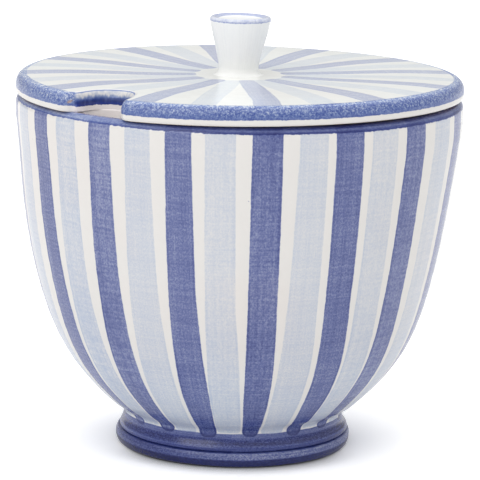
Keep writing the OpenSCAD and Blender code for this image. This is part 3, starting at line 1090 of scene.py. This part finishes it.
def lid_material():
    shader = new_shader("lid_glaze")
    noise, attr = shader.noise, shader.attr
    place, x, y, z = shader.place()
    inset, deep, arc, rise = attr("inset"), attr("notch"), attr("arc_mm"), attr("rise_mm")
    top_side = attr("face_side").step(0.4, 0.6)
    dark_brush, light_brush = attr("dark_brush", "Vector"), attr("light_brush", "Vector")
    dark_depth, light_depth = attr("dark_sd"), attr("light_sd")

    # the strokes on the top, thinner than those on the bowl
    _, along, number = shader.split(dark_brush)
    wobble = noise((number * 7.3, along * 0.14, 0)).swing(0.35)
    wobble = wobble + noise(place, scale=0.9).swing(0.2)
    on_plate = inset.step(0.35, 0.95)
    in_dark = (dark_depth + wobble).step(-0.14, 0.14) * on_plate
    in_light = (light_depth + wobble * 1.3).step(-0.16, 0.16) * on_plate
    coats, grain, _ = brushed(shader, dark_brush, dark_depth, edge=0.7, contrast=0.8)
    coats = coats * 0.36
    wash, _, _ = brushed(shader, light_brush, light_depth, edge=0.6, contrast=1.2)
    wash = wash * 0.80
    mottle = noise(place, scale=1.15, detail=4, rough=0.66)

    # outer band: over the shoulder and down the side, leaving a white strip
    # at the bottom
    rag = noise((arc * 0.85, rise * 0.2, 2), detail=3, rough=0.65).swing(0.50)
    rag = rag + noise((arc * 0.05, 3, 2), detail=1).swing(0.25)
    low_gap = rise - 1.52 + rag
    high_gap = deep.mix(2.70, 1.25) - inset + noise((arc * 0.14, 5, 1)).swing(0.30)
    high_gap = high_gap + mottle.swing(0.3)
    on_band = low_gap.step(-0.10, 0.12) * high_gap.step(-0.08, 0.14) * top_side
    down = inset * 1.25 + (4 - rise)
    fine = noise(place, scale=2.7, detail=3, rough=0.72, warp=0.25)
    coarse = noise(place, scale=1.35, detail=3, rough=0.66, warp=0.3)
    drag = noise((arc * 0.10, down * 2.6, 9), detail=3, rough=0.6)
    # over the shoulder the band is thinner and lighter: partly glaze thinning over the edge, partly a
    # painted reflection of the grazing light
    shoulder = inset.step(0.65, 1.85)
    side_load = rise.ramp(3.6, 1.6, 0.97, 1.15)
    load = shoulder.mix(side_load, 0.58) * x.ramp(-50, 10, 0.84, 1)
    load = load * (1 - x.step(15, 45) * 0.06)
    load = load * (1 - x.step(-30, -50) * y.step(-16, 4) * 0.40)
    flecks = fine.step(0.36, 0.66).swing(0.66) + coarse.step(0.34, 0.66).swing(0.56)
    band_coats = load - flecks * rise.ramp(1.7, 3, 0.55, 1) + drag.swing(0.5)
    band_coats = band_coats + low_gap.step(0.5, 0.1) * 0.12
    band_coats = band_coats.clamp(0.05, 1.8) * on_band
    # one heavier touch on the shoulder, front right
    touch = x.band(17.2, 18.2, 23.2, 24.4) * y.step(0, -1)
    touch = touch * (inset + fine.swing(0.5)).step(1.55, 1.8)
    touch = touch * (inset + fine.swing(0.5)).step(2.35, 2.15) * top_side

    # inside the notch: a thin line along the top edge, a pale shoulder, then
    # pigment that has run down the wall and stops short of the bottom
    hairs = noise((arc * 1.5, rise * 0.20, 4), detail=3, rough=0.65)
    line_at = inset - arc.band(2, 7, 50, 60).mix(0.74, 0.42)
    line_at = line_at + noise((arc * 0.3, 1, 9)).swing(0.22)
    line = line_at.band(-0.20, -0.10, 0.08, 0.20)
    drain = rise + hairs.swing(2.3) - arc.band(333, 338, 346, 353) * 0.45
    drain = drain.step(3.75, 2.75)
    low_edge = rise - 1.22 + noise((arc * 0.8, 0, 6), detail=3, rough=0.7).swing(0.8)
    on_wall = low_edge.step(-0.10, 0.12) * inset.step(0.80, 0.50)
    pale = noise((arc * 0.8, rise * 0.6, 1)).step(0.38, 0.66) * 0.22
    run = 0.92 + hairs.swing(1.6) + rise.step(3.2, 1.9) * 1.10
    wall_coats = (drain * run + pale) * on_wall
    notch_coats = (line * (0.45 + mottle * 0.5) + wall_coats.clamp(0, 2.8)) * top_side
    notch_share = (deep + mottle.swing(0.30)).step(0.80, 0.97)
    edge_coats = notch_share.mix(band_coats, notch_coats)

    in_notch = inset.step(1.15, 0.85) * notch_share
    under_edge = (on_band * inset.ramp(1.9, 0.8, 0.55, 1)).max(in_notch)
    dark = in_dark * coats * (1 - under_edge) + edge_coats + touch * 0.7
    wash = in_light * wash * (1 - in_dark) * (1 - under_edge)
    cool = on_band.max(on_wall * notch_share)
    # a worn streak on the left corner of the notch
    chip_along = (x + 40.5) * 0.90 + (z - 91.5) * 0.43
    chip_across = (x + 40.5) * -0.43 + (z - 91.5) * 0.90
    chip = chip_along * chip_along * 0.45 + chip_across * chip_across * 3.6
    chip = (chip + (y + 36.3) * (y + 36.3) * 0.4).sqrt()
    chip = (chip + mottle.swing(1.2) + fine.swing(0.8)).step(0.62, 0.40) * 0.65
    # bare clay on the underside, outside the flange
    seat_r = (x * x + y * y).sqrt()
    seat_wobble = noise((arc * 0.25, 2, 1)).swing(1.2)
    seat = deep.step(0.5, 0.1) * (seat_r + seat_wobble).step(50.2, 50.8)
    seat = seat * (seat_r + seat_wobble).step(56, 55.6) * rise.step(0.10, 0.03)
    bare = chip.max(seat)
    relief = in_dark * 0.018 + edge_coats * 0.02 + in_dark * grain * 0.006
    # painted light: brighter copies of the white on the top, where more light falls, and low on the
    # notch wall, making up for the shade there
    lit_top = inset.step(0.4, 2)
    lit_notch_wall = deep.step(0.55, 0.95) * rise.step(2.2, 1.5) * inset.step(0.6, 0.3)
    lit_top_white = mix_each(lit_top, SHADED_WHITE, (0.800, 0.812, 0.784))
    white = mix_each(lit_notch_wall, lit_top_white, (0.960, 0.890, 0.860))
    pigment = mix_each(cool, STRIPE_T, BAND_T)
    return glazed(shader, dark, wash, bare, relief, gloss=0.15, pigment=pigment, white=white)


def flange_material():
    shader = new_shader("flange_white_glaze")
    noise = shader.noise
    around, drop = shader.attr("round_mm"), shader.attr("drop_mm")
    drip = noise((around * 0.5, drop * 0.12, 1))
    stain = drip.step(0.55, 0.75) * 0.05
    bare = drop.step(5.35, 5.42) * noise(shader.place()[0], scale=0.6).step(0.30, 0.5)
    # painted light: a lighter, warm copy of the glaze white, making up for the shade under the lid
    # and in the notch
    white = (0.950, 0.885, 0.855)
    return glazed(
        shader, stain, None, bare, drip * 0.03, gloss=0.17, pigment=BAND_T, white=white, seed=3
    )


def knob_material():
    shader = new_shader("knob_white_glaze")
    noise, attr = shader.noise, shader.attr
    place, _, y, _ = shader.place()
    around, radius, up = attr("round_mm"), attr("from_axis"), attr("up_mm")
    # faint upright streaks
    streaks = noise((around * 2, up * 0.045, 1), detail=3, rough=0.6)
    broad = noise((around * 0.32, up * 0.05, 5), detail=1)
    lilac = streaks.step(0.50, 0.78) * 0.020 + broad.step(0.5, 0.7) * 0.014
    lilac = lilac * up.step(1.2, 5)
    # thin paint over the lip, heavier at the back, with a line at its lower edge
    rag = noise((around * 1, up * 0.3, 3), detail=3, rough=0.7).swing(1)
    lip_gap = up - 13.62 + rag * 0.55
    on_lip = (radius + noise(place, scale=0.5).swing(0.3)).step(5.45, 5.62)
    lip_band = lip_gap.step(-0.08, 0.10) * on_lip
    lip_edge = lip_gap.band(-0.05, 0.08, 0.15, 0.50) * on_lip * radius.step(7.2, 7.45)
    back = y.step(-2, 4)
    swirl_at = (around * 1.1, up * 1 + radius * 1, 2)
    curl = noise(swirl_at, scale=1.2, detail=3, rough=0.65, warp=0.8)
    paint = lip_band * (0.15 + curl.step(0.36, 0.72) * 0.20 + back * 0.24)
    paint = paint + lip_edge * (0.22 + streaks.step(0.40, 0.66) * 0.22)
    relief = paint * 0.03 + streaks * 0.008
    # painted light: a lighter copy of the glaze white, for the light the knob's steep sides do not
    # get, and a touch cooler
    white = (0.852, 0.862, 0.844)
    return glazed(shader, lilac + paint, None, None, relief, gloss=0.16, white=white, seed=7)


def floor_material():
    """Pale for the light it returns, lifted to white where the camera sees it."""
    shader = new_shader("floor_pale")
    place, _, y, _ = shader.place()
    tone = shader.noise(place, scale=0.02).mix(0.90, 0.92)
    plain = shader.add("BsdfDiffuse", {"Color": shader.colour(tone, tone, tone)})
    # the contact shadow, deepest under the front of the foot
    near_foot = shader.add("AmbientOcclusion", {"Distance": 0.007}, "AO", samples=8)
    contact = shader.math("POWER", near_foot, y.ramp(-8, -28, 0, 2.2))
    seen_colour = shader.colour(contact * 1.25, contact * 1.245, contact * 1.225)
    lifted = shader.add("BsdfDiffuse", {"Color": seen_colour})
    seen = shader.add("LightPath", {}, "Is Camera Ray")
    return shader.surface(shader.add("MixShader", {0: seen, 1: plain, 2: lifted}))


bowl.data.materials.append(bowl_material())
foot.data.materials.append(foot_material())
lid.data.materials.append(lid_material())
flange.data.materials.append(flange_material())
knob.data.materials.append(knob_material())

# ===================================================== floor, room and light
FLOOR_HALF = 7.0  # metres
floor_mesh = bpy.data.meshes.new("floor")
floor_corners = [(i * FLOOR_HALF, j * FLOOR_HALF, 0) for i, j in ((-1, -1), (1, -1), (1, 1), (-1, 1))]
floor_mesh.from_pydata(floor_corners, [], [(0, 1, 2, 3)])
floor = bpy.data.objects.new("floor", floor_mesh)
scene = bpy.context.scene
scene.collection.objects.link(floor)
floor_mesh.materials.append(floor_material())


def build_room():
    """A soft white room, brightest overhead, dimmer low down behind the bowl."""
    world = bpy.data.worlds.new("studio")
    scene.world = world
    shader = Shader(world)
    background = shader.tree.nodes["Background"]
    background.inputs[0].default_value = (1, 1, 1, 1)
    _, y, z = shader.split(shader.add("TexCoord", {}, "Generated"))
    behind = y.step(0.15, 0.9) * z.step(0.60, 0.20)
    overhead = z.step(0.35, 0.95)
    glow = shader.math("ADD", 0.66, overhead * 1.05) - behind * 0.14
    # a white backdrop past the floor's far edge
    seen = shader.add("LightPath", {}, "Is Camera Ray")
    shader.put(background.inputs[1], glow.max(seen))


def build_key_light():
    """A softbox above the front left, aimed at the middle of the bowl (metres)."""
    place, target = (-1.2, -1.5, 1.2), (0, 0, 0.06)
    light = bpy.data.lights.new("key", "AREA")
    light.shape = "RECTANGLE"
    light.size, light.size_y = 1.5, 1.1
    light.energy = 10.0
    obj = bpy.data.objects.new("key", light)
    scene.collection.objects.link(obj)
    aim = np.array(target, float) - np.array(place, float)
    aim /= np.linalg.norm(aim)
    right = np.cross(aim, [0, 0, 1.0])
    right /= np.linalg.norm(right)
    columns = zip(right, np.cross(right, aim), -aim, place)
    obj.matrix_world = Matrix([*columns, (0, 0, 0, 1)])
    obj.visible_camera = False


def build_camera():
    pitch, roll = math.radians(10.98), math.radians(1.1)
    data = bpy.data.cameras.new("camera")
    data.sensor_width = 36.0
    data.lens = 242.36175
    data.shift_x = 0.008125
    data.clip_start, data.clip_end = 0.05, 60.0
    camera = bpy.data.objects.new("camera", data)
    scene.collection.objects.link(camera)
    tilt = Matrix.Rotation(math.pi / 2 - pitch, 4, "X") @ Matrix.Rotation(roll, 4, "Z")
    camera.matrix_world = Matrix.Translation((0, -0.80166, 0.20708)) @ tilt
    scene.camera = camera


build_room()
build_key_light()
build_camera()
scene.view_settings.view_transform = "Standard"
scene.view_settings.look = "None"
